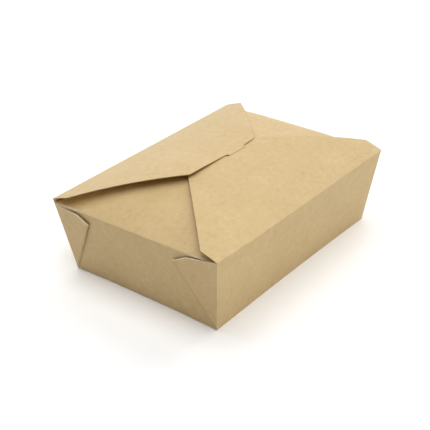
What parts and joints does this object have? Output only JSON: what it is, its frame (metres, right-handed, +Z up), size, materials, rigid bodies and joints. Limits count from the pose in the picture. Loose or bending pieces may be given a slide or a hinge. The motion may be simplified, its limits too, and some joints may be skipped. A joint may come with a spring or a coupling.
{
  "type": "food box",
  "caption": "Closed folded kraft takeaway box with leaning walls, doubled corner webs, end flaps, a slit flap and a locking flap that tucks its tab into the slit.",
  "frame": {"origin": "middle of the underside of the base, on the surface that the box stands on", "axes": "+X along the box, +Y across it towards the locking flap's crease, +Z up"},
  "size_m": [0.215, 0.16, 0.0809],
  "materials": {
    "kraft_board": "matte uncoated kraft"
  },
  "bodies": {
    "box": {"carton": "kraft_board"},
    "flap": {"locking_flap": "kraft_board"}
  },
  "joints": [
    {"name": "flap_crease", "type": "hinge", "parent": "box", "child": "flap", "pos_m": [0, 0.0798, 0.0638], "axis": [-1, 0, 0], "range_deg": [0, 180]}
  ]
}
